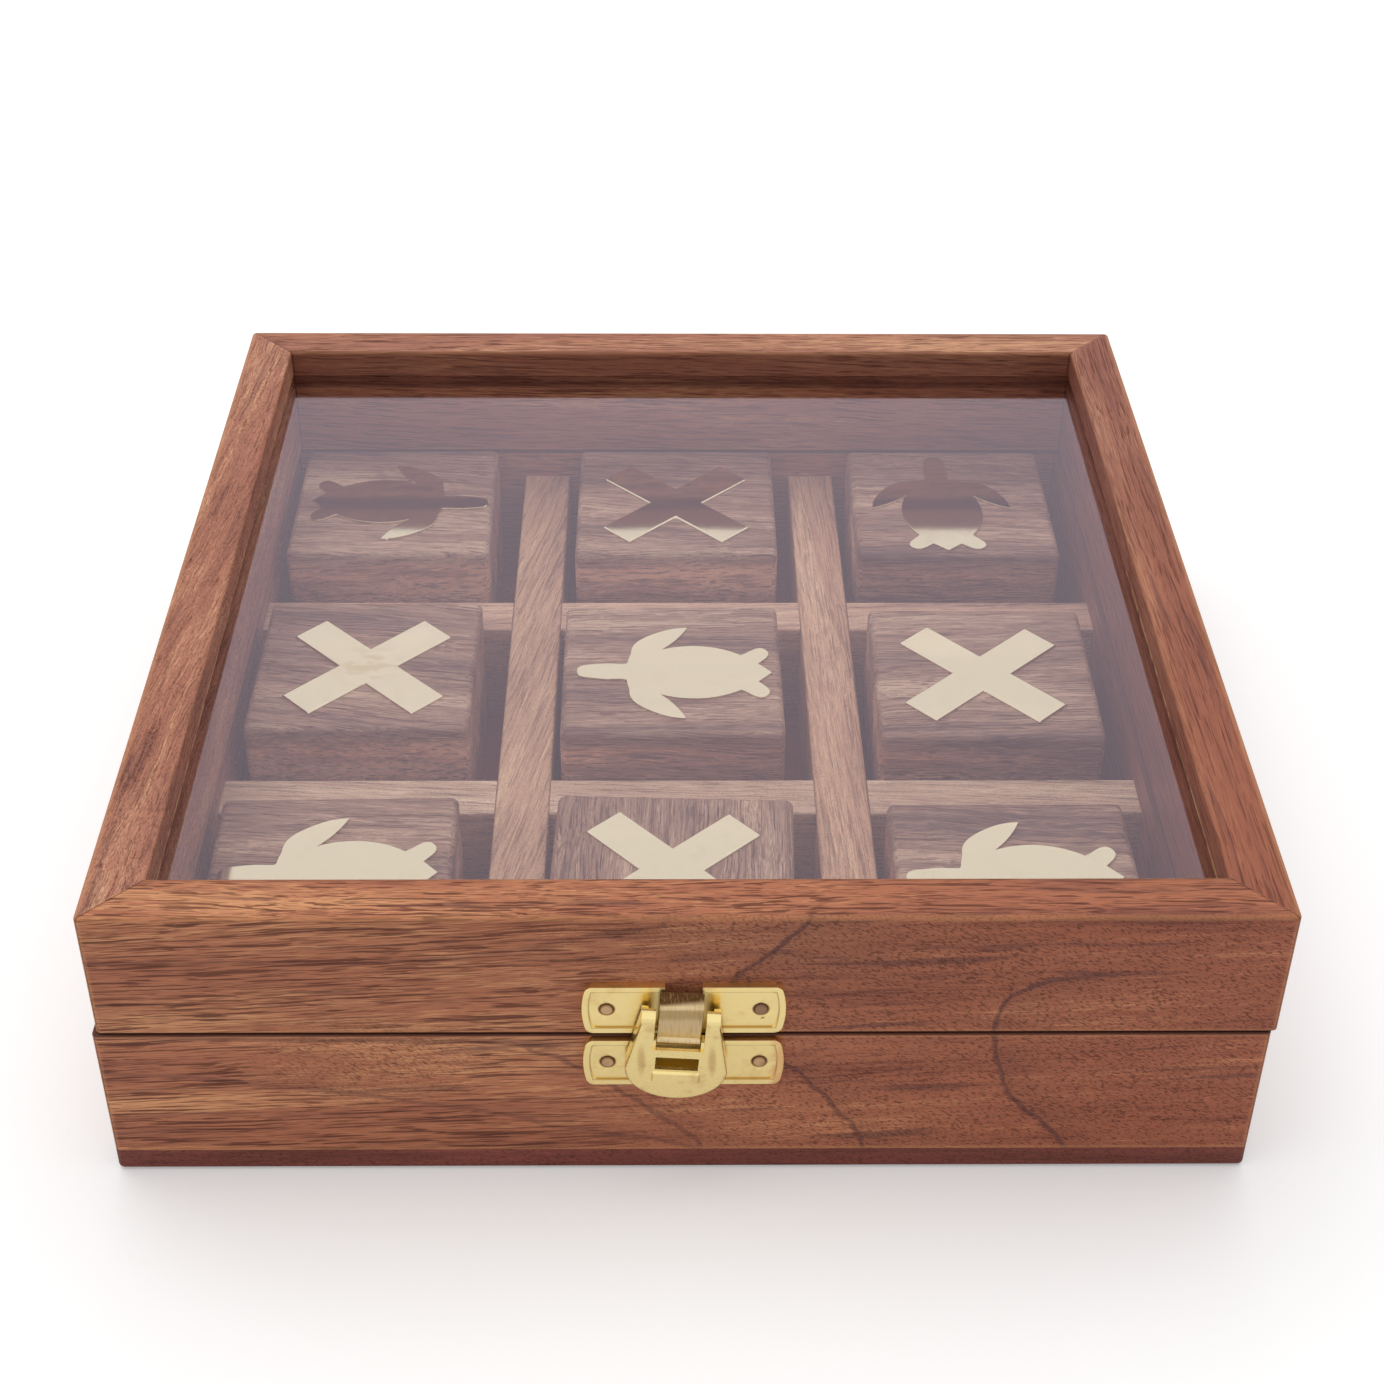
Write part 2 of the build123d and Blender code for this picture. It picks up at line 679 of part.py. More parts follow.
def make_hinge_screws(up):
    """The four slotted screws of one pair of leaves."""
    face = leaf_face(up)
    with BuildPart() as screws:
        with BuildSketch(Plane.XY.offset(face)):
            with Locations([(x, screw_y) for x in hinge_x]):
                with GridLocations(screw_spacing, 0, 2, 1):
                    Circle(screw_head_r)
        extrude(amount=up * screw_head_depth)
        with BuildSketch(Plane.XY.offset(face)):
            with Locations([(x, screw_y) for x in hinge_x]):
                with GridLocations(screw_spacing, 0, 2, 1):
                    Circle(screw_r)
        extrude(amount=up * screw_length)
        with BuildSketch(Plane.XY.offset(face)):
            with Locations([(x, screw_y) for x in hinge_x]):
                with GridLocations(screw_spacing, 0, 2, 1):
                    Rectangle(3 * screw_head_r, screw_slot_width)
        extrude(amount=up * screw_slot_depth, mode=Mode.SUBTRACT)
    return screws


for name, x in zip(("left", "right"), hinge_x):
    finish(make_leaf(x, -1), f"hinge_{name}_base_leaf")
    finish(make_leaf(x, 1), f"hinge_{name}_lid_leaf")
    with BuildPart() as hinge_pin:
        with BuildSketch(Plane(origin=(x, hinge_axis_y, parting_z), x_dir=(0, 1, 0), z_dir=(1, 0, 0))):
            Circle(hinge_pin_r)
        extrude(amount=hinge_length / 2 + hinge_pin_overhang, both=True)
    finish(hinge_pin, f"hinge_{name}_pin")
finish(make_hinge_screws(-1), "hinge_base_screws")
finish(make_hinge_screws(1), "hinge_lid_screws")

print("lid hinge axis: y", hinge_axis_y, "z", parting_z)
print("clasp flap pivot:", pivot_point, "axis", tuple(swing.x_dir))
print("clasp link pivot:", tuple(swing.from_local_coords(Vector(0, -link_pivot_below, -link_pivot_behind))))
print("block top", board_thickness + block_height, "figure top", board_thickness + block_height + figure_proud,
      "glass underside", glass_bottom)
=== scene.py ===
"""Wood, brass and glass for a tic-tac-toe box with a glazed lid."""

import json
from math import cos, radians, sin

import bmesh
import bpy
from bpy.props import FloatProperty, FloatVectorProperty, PointerProperty
from mathutils import Matrix, Vector


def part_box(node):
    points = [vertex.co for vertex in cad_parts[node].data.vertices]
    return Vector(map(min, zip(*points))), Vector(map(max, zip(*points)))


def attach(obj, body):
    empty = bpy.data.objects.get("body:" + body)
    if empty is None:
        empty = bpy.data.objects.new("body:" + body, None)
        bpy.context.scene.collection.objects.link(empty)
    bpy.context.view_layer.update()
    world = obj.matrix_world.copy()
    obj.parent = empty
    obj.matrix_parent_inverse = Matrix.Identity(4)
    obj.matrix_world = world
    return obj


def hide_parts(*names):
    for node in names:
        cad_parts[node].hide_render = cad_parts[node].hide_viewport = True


bl_info = {
    "name": "Tic-tac-toe box",
    "version": (1, 0, 0),
    "blender": (4, 5, 0),
    "location": "View3D > Sidebar > Game box",
    "description": "Dresses a glazed tic-tac-toe box in wood, brass and glass",
    "category": "Object",
}

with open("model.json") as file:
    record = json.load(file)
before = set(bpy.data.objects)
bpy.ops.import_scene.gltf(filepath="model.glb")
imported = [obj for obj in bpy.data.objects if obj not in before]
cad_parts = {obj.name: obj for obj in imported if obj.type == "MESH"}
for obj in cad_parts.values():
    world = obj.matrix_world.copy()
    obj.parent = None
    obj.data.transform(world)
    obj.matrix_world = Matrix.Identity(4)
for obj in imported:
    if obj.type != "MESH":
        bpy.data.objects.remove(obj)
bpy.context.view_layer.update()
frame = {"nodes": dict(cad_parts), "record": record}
nodes = frame["nodes"]
body_of = {node: body for body, names in frame["record"]["behaviour"]["bodies"].items() for node in names}


def colour(name, description, default):
    """A colour that a user may change."""
    return FloatVectorProperty(name=name, description=description, default=default, subtype="COLOR",
                               min=0, max=1)


def length(name, description, default):
    """A size in metres that a user may change."""
    return FloatProperty(name=name, description=description, default=default, unit="LENGTH", precision=5)


def angle(name, description, default):
    """An angle in radians that a user may change."""
    return FloatProperty(name=name, description=description, default=default, subtype="ANGLE")


class WoodSettings(bpy.types.PropertyGroup):
    """Colours and grain of the wood."""

    case_light: colour("Case, light", "Early wood of the case", (0.66, 0.30, 0.13))
    case_middle: colour("Case, middle", "Main colour of the case", (0.43, 0.150, 0.070))
    case_dark: colour("Case, dark", "Late wood of the case", (0.22, 0.066, 0.037))
    divider_light: colour("Dividers, light", "Early wood of the dividers", (0.696, 0.456, 0.324))
    divider_middle: colour("Dividers, middle", "Main colour of the dividers", (0.4899, 0.2769, 0.196))
    divider_dark: colour("Dividers, dark", "Late wood of the dividers", (0.175, 0.0924, 0.0756))
    block_light: colour("Blocks, light", "Early wood of the playing blocks", (0.58, 0.38, 0.27))
    block_middle: colour("Blocks, middle", "Main colour of the playing blocks", (0.345, 0.195, 0.138))
    block_dark: colour("Blocks, dark", "Late wood of the playing blocks", (0.125, 0.066, 0.054))
    pore: colour("Pores", "Colour of the open pores", (0.075, 0.020, 0.014))
    ring: colour("Rings", "Colour of the dark growth rings", (0.105, 0.038, 0.036))
    board: colour("Bottom board", "Stained colour of the bottom board", (0.224, 0.0616, 0.0448))
    # The band along the case's edges is paler partly from wear and partly as a painted highlight.
    edge_wear: length("Edge wear", "Width of the rubbed band along the case's edges", 0.0009)


class BrassSettings(bpy.types.PropertyGroup):
    """Colours and edges of the brass."""

    figure: colour("Figures", "Polished brass of the figures", (0.83, 0.72, 0.52))
    clasp: colour("Clasp", "Plated brass of the clasp", (0.98, 0.79, 0.36))
    strap: colour("Strap", "Brushed brass of the clasp's link", (0.72, 0.55, 0.31))
    nail: colour("Nails", "Coppery nails of the clasp", (0.62, 0.40, 0.22))
    hinge: colour("Hinges", "Satin brass of the hinges", (0.72, 0.54, 0.26))
    figure_edge: length("Figure edge", "Width of the figures' rounded edge", 0.00035)
    clasp_edge: length("Clasp edge", "Width of the clasp's rounded edges", 0.00022)


class GlassSettings(bpy.types.PropertyGroup):
    """Reflection of the pane."""

    reflection: colour("Reflection", "Tint of what the pane reflects", (1.0, 0.85, 0.99))
    clear: colour("Clear", "Tint of what is seen through the pane", (0.97, 0.975, 0.97))
    index: FloatProperty(name="Index", description="Index of refraction", default=1.58, min=1, max=2)


class StageSettings(bpy.types.PropertyGroup):
    """Camera, floor and lamps."""

    eye: FloatVectorProperty(name="Eye", description="Place of the camera", subtype="XYZ", unit="LENGTH",
                             default=(-0.0030, -0.3346, 0.2750))
    pitch: angle("Pitch", "Angle below the horizon", 0.63832)
    yaw: angle("Yaw", "Angle towards +X", 0.01562)
    roll: angle("Roll", "Angle about the view", 0.00891)
    lens: FloatProperty(name="Lens", description="Focal length on a 36 mm sensor", default=59.07)
    floor: colour("Floor", "Colour of the floor", (0.90, 0.90, 0.90))
    key_power: FloatProperty(name="Key lamp", description="Power of the large lamp above", default=7.0,
                             unit="POWER")
    sky: FloatProperty(name="Sky", description="Strength of the light from all round", default=0.62,
                       min=0, max=1)


class Value:
    """An output in a node tree. Sums written with it add Math nodes."""

    def __init__(self, graph, socket):
        self.graph, self.socket = graph, socket

    def math(self, operation, *others):
        return self.graph.node("Math", {"operation": operation}, self, *others)

    def __add__(self, other):
        return self.math("ADD", other)

    def __sub__(self, other):
        return self.math("SUBTRACT", other)

    def __mul__(self, other):
        return self.math("MULTIPLY", other)

    def __truediv__(self, other):
        return self.math("DIVIDE", other)

    def __pow__(self, other):
        return self.math("POWER", other)

    def __rsub__(self, other):
        return self.graph.node("Math", {"operation": "SUBTRACT"}, other, self)

    def __abs__(self):
        return self.math("ABSOLUTE")

    __radd__, __rmul__ = __add__, __mul__

    def rise(self, low, high):
        """Smooth step from 0 at low to 1 at high."""
        return self.graph.node("MapRange", {"interpolation_type": "SMOOTHSTEP"}, self, low, high)

    def outputs(self):
        """Every output of the same node."""
        return [Value(self.graph, socket) for socket in self.socket.node.outputs]


class Graph:
    """A node tree that is built node by node."""

    def __init__(self, tree):
        self.tree = tree
        tree.nodes.clear()

    def node(self, kind, settings=None, *values, out=0, **named):
        """Add a node: settings first, then its sockets by order or name. Gives one of its outputs."""
        whole = kind.startswith(("Geometry", "Function", "Node"))
        node = self.tree.nodes.new(kind if whole else "ShaderNode" + kind)
        for key, value in (settings or {}).items():
            if key == "stops":
                elements = node.color_ramp.elements
                elements.remove(elements[1])
                elements[0].position = value[0][0]
                for number, (place, tone) in enumerate(value):
                    element = elements[0] if number == 0 else elements.new(place)
                    element.color = (*tone, 1) if isinstance(tone, tuple) else (tone, tone, tone, 1)
            elif key == "ease":
                node.color_ramp.interpolation = value
            else:
                setattr(node, key, value)
        sockets = dict(enumerate(values)) | {key.replace("_", " "): value for key, value in named.items()}
        for key, value in sockets.items():
            if isinstance(value, Value):
                self.tree.links.new(value.socket, node.inputs[key])
            elif value is not None:
                socket = node.inputs[key]
                four = socket.type == "RGBA" and len(value) == 3
                socket.default_value = (*value, 1) if four else value
        return Value(self, node.outputs[out]) if len(node.outputs) else None


class Paint(Graph):
    """The nodes of a material, or of the world."""

    def __init__(self, owner):
        self.owner = bpy.data.materials.new(owner) if isinstance(owner, str) else owner
        self.owner.use_nodes = True
        super().__init__(self.owner.node_tree)

    def place(self):
        """Object coordinates, in metres."""
        return self.node("TexCoord", out="Object")

    def split(self, vector):
        """X, Y and Z of a vector."""
        return self.node("SeparateXYZ", None, vector).outputs()

    def vector(self, operation, *values):
        return self.node("VectorMath", {"operation": operation}, *values)

    def scaled(self, vector, *factors):
        return self.vector("MULTIPLY", vector, factors)

    def distance(self, vector, point):
        return self.node("VectorMath", {"operation": "DISTANCE"}, vector, point, out="Value")

    def mapped(self, vector, shift, turn, scale=1):
        """A vector scaled, turned by degrees about each axis and shifted."""
        angles = [radians(degrees) for degrees in turn]
        return self.node("Mapping", {"vector_type": "POINT"}, vector, shift, angles, (scale,) * 3)

    def noise(self, vector, scale=1.0, detail=2.0, roughness=0.5, out=0):
        return self.node("TexNoise", None, out=out, Vector=vector, Scale=scale, Detail=detail,
                         Roughness=roughness)

    def blend(self, factor, first, second, how="MIX"):
        """Mix two colours. The node keeps five sockets for other kinds of value before them."""
        others = (None,) * 5
        settings = {"data_type": "RGBA", "blend_type": how}
        return self.node("Mix", settings, factor, *others, first, second, out=2)

    def shade(self, colour, roughness, height, bump, depth, **named):
        """Finish with a Principled shader on a bumped surface."""
        normal = self.node("Bump", None, Strength=bump, Distance=depth, Height=height)
        shader = self.node("BsdfPrincipled", None, Base_Color=colour, Roughness=roughness, Normal=normal,
                           **named)
        return self.finish(shader)

    def finish(self, shader):
        """Put a shader on the surface and give the material or the world."""
        kind = "OutputWorld" if isinstance(self.owner, bpy.types.World) else "OutputMaterial"
        self.node(kind, None, shader)
        return self.owner


def grained(name, tones, turn, shift, bend=4.0, contrast=1.0, lines=1.0, short=0.0, slant=-28,
            smudge=0.5, wash=None, figure=None, trim=None, gloss=0.48):
    """Wood whose grain runs along X before the turn, in degrees. shift picks the piece of the log, and bend
    is how far its grain strays. tones are its light, middle and dark colour, lines is the strength of its
    long pores, and short the share of the surface with short ones, as a number or a function."""
    wood = bpy.context.scene.box_wood
    light, middle, dark = (tuple(tone) for tone in tones)
    paint = Paint(name)
    here = paint.place()
    log = paint.mapped(here, shift, turn, 1000)
    # Two waves, one slow and one quicker, push the grain sideways by some millimetres.
    for pace, sway in (((0.011, 0.035, 0.035), bend), ((0.06, 0.16, 0.16), bend * 0.22)):
        wave = paint.noise(paint.scaled(log, *pace), 1, 2, out="Color")
        drift = paint.vector("SUBTRACT", wave, (0.5,) * 3)
        log = paint.vector("ADD", log, paint.scaled(drift, 0, sway, sway))

    def grain(along, across, detail, roughness=0.5, vector=log):
        """Noise with its cells per millimetre along and across the grain."""
        return paint.noise(paint.scaled(vector, along, across, across), 1, detail, roughness)

    # Wide bands, streaks and fibres, then the pores, which crowd together in some places.
    band = grain(0.010, 0.09, 3, 0.55)
    streak = grain(0.020, 0.62, 4, 0.62)
    fibre = grain(0.22, 5.0, 2, 0.6)
    crowd = grain(0.03, 0.16, 2) - 0.5
    long_pore = grain(0.070, 2.6, 1) + crowd * 0.18
    thin_pore = grain(0.16, 4.4, 1) + crowd * 0.16
    slanted = paint.mapped(log, (7, 3, 5), (0, slant, 0))
    dot = grain(1.25, 4.3, 1, vector=slanted) + crowd * 0.10
    share = short(paint, here) if callable(short) else short
    keep = 1 - share
    # A pore is open where its noise passes a threshold.
    pore = long_pore.rise(0.568, 0.612) * 0.85 + thin_pore.rise(0.560, 0.62) * 0.6
    pore = (pore * keep * lines + dot.rise(0.545, 0.61) * share * 0.72).math("MINIMUM", 1.0)
    tone = ((band - 0.5) * 1.8 + (streak - 0.5) * 1.15 + (fibre - 0.5) * 1.2) * contrast + 0.57
    stops = ((0.0, dark), (0.42, middle), (0.60, middle), (1.0, light))
    body = paint.node("ValToRGB", {"stops": stops}, tone)
    if wash is not None:
        body = wash(paint, here, body)
    smear = grain(0.028, 0.50, 2, 0.6).rise(0.57, 0.72)
    body = paint.blend(smear * smudge, body, tuple(wood.ring))
    if figure is not None:
        body = paint.blend(figure(paint, here), body, tuple(wood.ring))
    body = paint.blend(pore * 0.84, body, tuple(wood.pore))
    if trim is not None:
        body = trim(paint, here, body, fibre)
    rough = gloss + (streak - 0.5) * 0.22 + pore * 0.25
    height = fibre * 0.3 - pore * 0.8 + streak * 0.3
    return paint.shade(body, rough, height, bump=0.35, depth=0.00010, Specular_IOR_Level=0.26)


FRONT_RINGS = (
    (0.85, 11, ((5, 60), (15, 51.5), (23, 48), (30, 47), (35, 47.5), (38.5, 50.5), (41, 57), (42.3, 70),
                (43, 100))),
    (0.75, 8, ((7, 28), (12, 25), (18, 20.5), (24, 15), (30, 7.5), (33.5, 4.5), (39.5, 6.4), (44.5, 11),
               (53, 18))),
    (0.60, 9, ((6, 2), (11.5, -4), (16, -8.5), (20, -12), (22.5, -16), (25.7, -22), (28, -36),
               (29.4, -100))),
    (0.42, 14, ((44, -100), (45, -42), (46.5, -27), (49.3, -15), (52, -3))),
    (0.50, 7, ((5, 0), (9.7, -18.7), (12, -27), (14.7, -40), (18.3, -60), (21, -80), (22.5, -100))),
)


def rings(paint, here):
    """Dark ring lines of the front board, which open to the right, and a dark eye above them. Each ring has
    a strength, the width of its fading side and points of its line, as height and distance along the board
    in millimetres."""
    ramp_height, reach, step = 60, 100, 0.5
    half_line = 0.68
    eye_x, eye_z, stretch = 20.0, 47.5, 1.6

    def line_at(height, stops):
        """Distance along the board of a ring's line at a height."""
        found = paint.node("ValToRGB", {"stops": stops, "ease": "CARDINAL"}, height / ramp_height)
        return paint.split(found)[0] * (2 * reach) - reach

    x, y, z = paint.split(paint.scaled(here, 1000, 1000, 1000))
    sway = paint.noise(paint.scaled(here, 60, 60, 60), 1, 3)
    ripple = paint.noise(paint.scaled(here, 420, 420, 420), 1, 2)
    x = x + (sway - 0.5) * 3 + (ripple - 0.5) * 1.4
    z = z + (sway - 0.5) * 1.5
    total = None
    for strength, fade, points in FRONT_RINGS:
        stops = [(height / ramp_height, (place + reach) / (2 * reach)) for height, place in points]
        line = line_at(z, stops)
        slope = (line_at(z + step, stops) - line) / step
        off = (x - line) / (slope * slope + 1) ** 0.5
        core = 1 - (abs(off) / half_line).rise(0.15, 1.0)
        tail = off.rise(0, 0.3) * (1 - off.rise(0.0, fade)) ** 2
        ring = (core * (0.55 + ripple * 0.5) + tail * 0.24) * strength
        total = ring if total is None else total.math("MAXIMUM", ring)
    far = paint.distance(paint.scaled(here, 1000, 0, 1000 * stretch), (eye_x, 0, eye_z * stretch))
    behind = (y / 1000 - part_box("lid_front_rail")[0].y).rise(0.0005, 0.0011)
    return (total * (1 - x.rise(60, 80)) + (1 - far.rise(5, 22)) * 0.22) * (1 - behind)


def along(start, end, tint, axis=0, wander=0.05, top=None):
    """A tint that grows from start to end along an axis, in metres. wander is how far its edge strays, and
    the surface at the height top, when given, keeps most of its colour."""

    def wash(paint, here, body):
        sway = paint.noise(paint.scaled(here, 45, 45, 45), 1, 2)
        grown = (paint.split(here)[axis] + (sway - 0.5) * wander).rise(start, end)
        if top is not None:
            grown = grown * (1 - paint.split(here)[2].rise(top - 0.0008, top - 0.0003) * 0.85)
        return paint.blend(grown, body, tint, "MULTIPLY")

    return wash


def rubbed(side, front, name, lid, gold=0.0, dark=0.0):
    """Trim of a wall: paler edges, partly rubbed wear and partly a painted highlight, dark mitre lines,
    painted shade along the lip at the parting and, in the lid, a broken golden line along the glass and
    painted shade on the inner faces above it."""
    wood = bpy.context.scene.box_wood
    shaded, golden = (0.10, 0.028, 0.014), (0.80, 0.52, 0.24)
    half_line = 0.0009
    left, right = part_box(front)
    low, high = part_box(name)
    thick = min(high.x - low.x, high.y - low.y)
    half_x, half_y, centre = (right.x - left.x) / 2, -left.y, (left.x + right.x) / 2

    def trim(paint, here, body, fibre):
        x, y, z = paint.split(here)
        out_x = half_x - abs(x - centre)
        out_y = half_y - abs(y)
        off = out_y if side in ("front", "back") else out_x
        across = off.math("MINIMUM", thick - off)
        up = (z - low.z).math("MINIMUM", high.z - z)
        edge = (across + up).math("MINIMUM", out_x + out_y)
        # Paler edges: partly rubbed wear, partly a painted highlight on the rounded edges.
        rub_and_highlight = 1 - (edge / wood.edge_wear + (fibre - 0.5) * 0.9).rise(0.25, 1.0)
        body = paint.blend(rub_and_highlight * 0.34, body, tuple(wood.case_light))
        # Painted shade: a dark band along the lip makes the parting gap look deeper.
        lip = z - low.z if lid else high.z - z
        body = paint.blend((1 - lip.rise(0.00014, 0.00042)) * 0.88, body, tuple(wood.pore))
        mitre = abs(out_x - out_y)
        body = paint.blend((1 - mitre.rise(0.00004, 0.00020)) * 0.75, body, tuple(wood.pore))
        if dark or gold:
            chips = paint.noise(paint.scaled(here, 300, 300, 90), 1, 3, 0.7)
            near = 1 - y.rise(-0.02, 0.06) * 0.6
            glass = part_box("lid_glass")[1].z
            line = (1 - abs((z - glass) / half_line).rise(0.1, 1.0)) * (chips * near).rise(0.36, 0.58)
            inside = off.rise(thick - 0.0010, thick - 0.0003)
            above = (z - glass).rise(-0.0004, 0.0004)
            # Painted shade on the inner faces above the glass.
            body = paint.blend(inside * above * dark, body, shaded)
            body = paint.blend(line * inside * gold, body, golden)
        return body

    return trim


def dress(names, material):
    """Give CAD nodes a material in every slot."""
    for name in names:
        for slot in nodes[name].material_slots:
            slot.material = material


def applied(piece):
    """Make what the modifiers give the object's own mesh."""
    bpy.context.view_layer.update()
    mesh = bpy.data.meshes.new_from_object(piece.evaluated_get(bpy.context.evaluated_depsgraph_get()))
    piece.modifiers.clear()
    piece.data = mesh
    return mesh


def merged(name):
    """An editable copy of a CAD node's mesh, with its doubles merged."""
    work = bmesh.new()
    work.from_mesh(nodes[name].data)
    bmesh.ops.remove_doubles(work, verts=work.verts, dist=1e-6)
    return work


def merged_copy(name, piece_name, low=None, high=None, flat=True):
    """A merged copy of a CAD node's mesh, or of its solid between two corners, as a new object. flat joins
    the triangles of its flat faces."""
    work = merged(name)
    if low is not None:
        slack = 1e-5
        outside = [vert for vert in work.verts
                   if any(not a - slack < c < b + slack for a, b, c in zip(low, high, vert.co))]
        bmesh.ops.delete(work, geom=outside, context="VERTS")
        bmesh.ops.translate(work, verts=work.verts, vec=-(low + high) / 2)
    if flat:
        bmesh.ops.dissolve_limit(work, angle_limit=radians(1.0), verts=work.verts, edges=work.edges)
    mesh = bpy.data.meshes.new(piece_name)
    work.to_mesh(mesh)
    work.free()
    piece = bpy.data.objects.new(piece_name, mesh)
    bpy.context.scene.collection.objects.link(piece)
    return piece


def soften(piece, edge, segments=3, sharp=40):
    """Round an object's edges of more than sharp degrees, and keep its large faces flat in the light."""
    bevel = piece.modifiers.new("edges", "BEVEL")
    bevel.width, bevel.segments, bevel.limit_method = edge, segments, "ANGLE"
    bevel.angle_limit = radians(sharp)
    mesh = applied(piece)
    for polygon in mesh.polygons:
        polygon.use_smooth = True
    mesh.set_sharp_from_angle(angle=radians(35))
    weighted = piece.modifiers.new("normals", "WEIGHTED_NORMAL")
    weighted.keep_sharp, weighted.weight = True, 80
    return applied(piece)


def stand_in(piece, name):
    """Let a piece replace a CAD node and move with its body."""
    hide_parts(name)
    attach(piece, body_of[name])


def rim_line(paint, here, nails, plate):
    """Painted shade in the corner of a stamped plate's rim. The nails give the plate's middle height."""
    half_height, rim, bow, half_line = 0.00465, 0.0010, 0.0007, 0.00016
    low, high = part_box(plate)
    middle_z = sum(corner.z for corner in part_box(nails)) / 2
    x, z = paint.split(here)[::2]
    level = (z - middle_z) / half_height
    across = abs(x - (low.x + high.x) / 2) + level * level * bow - ((high.x - low.x) / 2 - rim)
    out = across.math("MAXIMUM", abs(z - middle_z) - (half_height - rim))
    return (1 - (abs(out) / half_line).rise(0.2, 1.0)) * (1 - abs(z - middle_z).rise(0.0048, 0.0052)) * 0.55


def soft_copy(name, edge, material, flat=True):
    """A copy of a CAD node with rounded edges, which replaces it."""
    piece = merged_copy(name, "dressed_" + name, flat=flat)
    soften(piece, edge).materials.append(material)
    stand_in(piece, name)


def fastener_tree():
    """Geometry Nodes that put one fastener at every place, each turned by chance about its own axis."""
    tree = bpy.data.node_groups.new("driven_fasteners", "GeometryNodeTree")
    inputs = (("Places", "Geometry"), ("Fastener", "Object"), ("Most turn", "Float"), ("Seed", "Int"),
              ("Finish", "Material"))
    for name, kind in inputs:
        tree.interface.new_socket(name=name, in_out="INPUT", socket_type="NodeSocket" + kind)
    tree.interface.new_socket(name="Fasteners", in_out="OUTPUT", socket_type="NodeSocketGeometry")
    graph = Graph(tree)
    places, fastener, turn, seed, finish = graph.node("NodeGroupInput").outputs()[:5]
    chance = graph.node("FunctionNodeRandomValue", {"data_type": "FLOAT"}, None, None, 0.0, turn, out=1,
                        Seed=seed)
    angles = graph.node("CombineXYZ", None, 0.0, 0.0, chance)
    facing = graph.node("FunctionNodeEulerToRotation", None, angles)
    shape = graph.node("GeometryNodeObjectInfo", None, fastener, out="Geometry")
    copies = graph.node("GeometryNodeInstanceOnPoints", None, Points=places, Instance=shape,
                        Rotation=facing)
    real = graph.node("GeometryNodeRealizeInstances", None, copies)
    finished = graph.node("GeometryNodeSetMaterial", None, Geometry=real, Material=finish)
    graph.node("NodeGroupOutput", None, finished)
    return tree


def solids(name):
    """Lowest and highest corner of each solid of a CAD node, from left to right."""
    work = merged(name)
    left, corners = set(work.verts), []
    while left:
        group = [left.pop()]
        for vert in group:
            for other in (edge.other_vert(vert) for edge in vert.link_edges):
                if other in left:
                    left.remove(other)
                    group.append(other)
        corners.append([Vector([pick(vert.co[axis] for vert in group) for axis in range(3)])
                        for pick in (min, max)])
    work.free()
    return sorted(corners, key=lambda pair: pair[0].x)


def driven(name, edge, turn, seed, material):
    """Nails or screws: the first solid of a CAD node, softened, is repeated at the place of each."""
    corners = solids(name)
    pattern = merged_copy(name, "one_" + name, *corners[0])
    soften(pattern, edge, segments=4, sharp=50)
    mesh = bpy.data.meshes.new("places_" + name)
    mesh.from_pydata([(low + high) / 2 for low, high in corners], [], [])
    piece = bpy.data.objects.new("dressed_" + name, mesh)
    bpy.context.scene.collection.objects.link(piece)
    tree = bpy.data.node_groups.get("driven_fasteners") or fastener_tree()
    modifier = piece.modifiers.new("fasteners", "NODES")
    modifier.node_group = tree
    given = {"Fastener": pattern, "Most turn": turn, "Seed": seed, "Finish": material}
    for item in tree.interface.items_tree:
        if item.in_out == "INPUT" and item.name in given:
            modifier[item.identifier] = given[item.name]
    applied(piece)
    bpy.data.objects.remove(pattern)
    stand_in(piece, name)


def round_marks(centres, inner, outer):
    """A mark that fills circles round points of the front, and fades out between two radii in metres."""

    def marks(paint, here):
        nearest = None
        for centre in centres:
            off = paint.distance(paint.scaled(here, 1, 0, 1), (centre.x, 0, centre.z))
            nearest = off if nearest is None else nearest.math("MINIMUM", off)
        return 1 - nearest.rise(inner, outer)

    return marks


def oval(paint, here, x, z, half_x, half_z):
    """Distance from a point of the front, where 1 is the outline of an oval."""
    return paint.distance(paint.scaled(here, 1 / half_x, 0, 1 / half_z), (x / half_x, 0, z / half_z))


def brass(name, base, stain, rough, wave=0.5, brushed=None, stains=0.5, fade=None, marks=()):
    """Metal with fine scratches, slow waves and stains. brushed is the pace of the brush marks along each
    axis, fade a darker tone with the heights in metres between which it takes over, and marks are pairs of
    a function and a tone."""
    paint = Paint(name)
    here = paint.place()
    cloud = paint.noise(here, 190, 3, 0.6)
    spots = paint.noise(here, 620, 2, 0.7)
    scratch = paint.noise(paint.scaled(here, *(brushed or (900, 2600, 2600))), 1, 2, 0.7)
    dirt = (cloud * 0.7 + spots * 0.3).rise(0.52, 0.72) * stains
    body = paint.blend(dirt, base, stain)
    if fade is not None:
        tone, low, high = fade
        body = paint.blend(paint.split(here)[2].rise(low, high), body, tone)
    if brushed:
        body = paint.blend(scratch.rise(0.50, 0.68) * 0.45, body, stain)
    for mark, tone in marks:
        body = paint.blend(mark(paint, here), body, tone)
    roughness = rough + dirt * 0.25 + (scratch - 0.5) * (0.25 if brushed else 0.08)
    height = cloud * wave + scratch * (0.35 if brushed else 0.06)
    return paint.shade(body, roughness, height, bump=0.30, depth=0.00008, Metallic=1.0)


class BoxOperator(bpy.types.Operator):
    """Base of the operators that dress the box."""

    bl_options = {"REGISTER"}

    def execute(self, context):
        self.make(context.scene)
        return {"FINISHED"}


